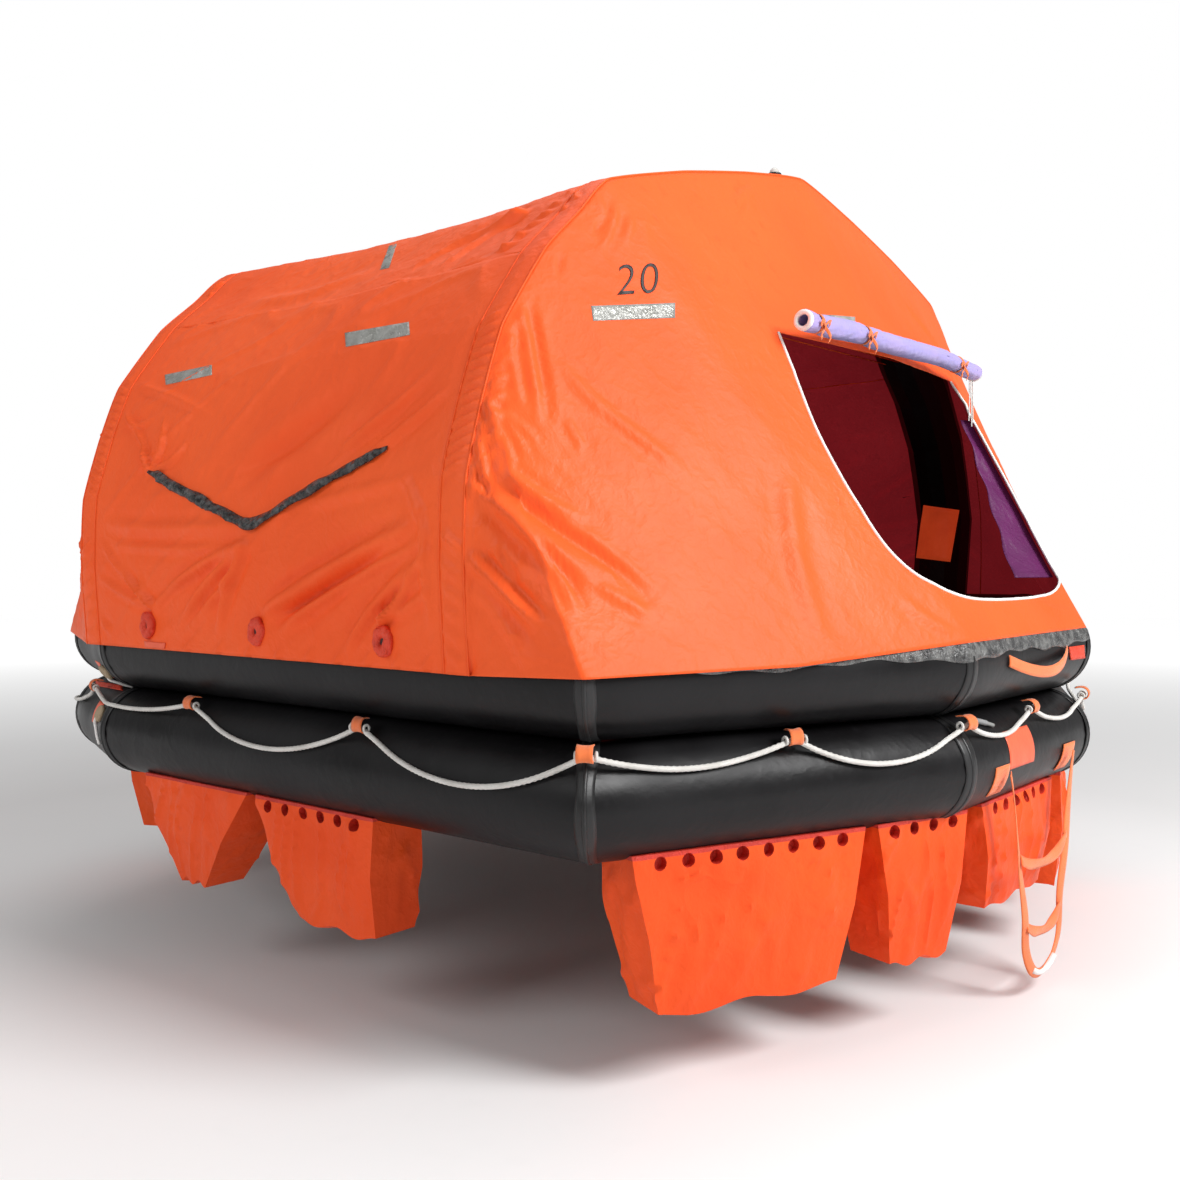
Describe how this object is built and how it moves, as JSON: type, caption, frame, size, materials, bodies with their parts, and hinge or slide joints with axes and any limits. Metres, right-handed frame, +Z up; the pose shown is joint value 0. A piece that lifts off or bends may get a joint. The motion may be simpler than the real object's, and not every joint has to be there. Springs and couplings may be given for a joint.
{
  "type": "canopied inflatable life raft for twenty people",
  "caption": "Inflatable life raft: two stacked buoyancy tubes, arch tubes under an orange canopy with two entrances, ballast pockets, grab line and boarding ladders.",
  "frame": {"origin": "middle of the raft on the waterline, 50 mm above the lower tube's underside", "axes": "+X out of the open front entrance, +Y to port, +Z up"},
  "size_m": [4.015, 3.6488, 2.8961],
  "materials": {
    "black_rubber": "smooth rubber-coated fabric with a soft sheen",
    "orange_cloth": "coated orange cloth, wrinkled",
    "orange_webbing": "woven flat webbing",
    "white_rope": "twisted white rope",
    "lavender_lining": "coated lining, rolled with its inner side out",
    "white_plastic": "moulded plastic, slightly yellowed",
    "cylinder_paint": "grey painted steel, scuffed",
    "floor_rubber": "matt rubber-coated fabric"
  },
  "bodies": {
    "raft": {"buoyancy_tube_lower": "black_rubber", "buoyancy_tube_upper": "black_rubber", "arch_tube_front": "black_rubber", "arch_tube_rear": "black_rubber", "gutter_starboard": "black_rubber", "gutter_port": "black_rubber", "arch_sleeve_front": "orange_cloth", "arch_sleeve_rear": "orange_cloth", "canopy_roof": "orange_cloth", "canopy_flank_starboard": "orange_cloth", "canopy_flank_port": "orange_cloth", "canopy_front": "orange_cloth", "canopy_rear": "orange_cloth", "door_flap_rear": "orange_cloth", "ballast_pocket_bow_corner_starboard": "orange_cloth", "ballast_pocket_bow_corner_port": "orange_cloth", "ballast_pocket_bow_quarter_starboard": "orange_cloth", "ballast_pocket_bow_quarter_port": "orange_cloth", "ballast_pocket_flank_fore_starboard": "orange_cloth", "ballast_pocket_flank_fore_port": "orange_cloth", "ballast_pocket_flank_aft_starboard": "orange_cloth", "ballast_pocket_flank_aft_port": "orange_cloth", "ballast_pocket_stern_quarter_starboard": "orange_cloth", "ballast_pocket_stern_quarter_port": "orange_cloth", "ballast_pocket_bow_middle": "orange_cloth", "ladder_patch_front_starboard": "orange_webbing", "ladder_patch_front_port": "orange_webbing", "ladder_patch_rear_starboard": "orange_webbing", "ladder_patch_rear_port": "orange_webbing", "handle_strap_front": "orange_webbing", "cylinder_band_starboard": "orange_webbing", "cylinder_band_port": "orange_webbing", "righting_strap": "orange_webbing", "lifeline": "white_rope", "door_cord_inner": "white_rope", "door_cord_middle": "white_rope", "door_cord_outer": "white_rope", "valve_upper": "white_plastic", "valve_lower": "white_plastic", "canopy_light": "white_plastic", "gas_cylinder": "cylinder_paint", "door_roll_front": "lavender_lining", "floor_mattress": "floor_rubber"},
    "ladder_front": {"boarding_ladder_front": "orange_webbing"},
    "ladder_rear": {"boarding_ladder_rear": "orange_webbing"}
  },
  "joints": [
    {"name": "ladder_front_swing", "type": "hinge", "parent": "raft", "child": "ladder_front", "pos_m": [1.9945, 0, 0.087], "axis": [0, -1, 0], "range_deg": [-5, 100]},
    {"name": "ladder_rear_swing", "type": "hinge", "parent": "raft", "child": "ladder_rear", "pos_m": [-1.9945, 0, 0.087], "axis": [0, 1, 0], "range_deg": [-5, 100]}
  ]
}
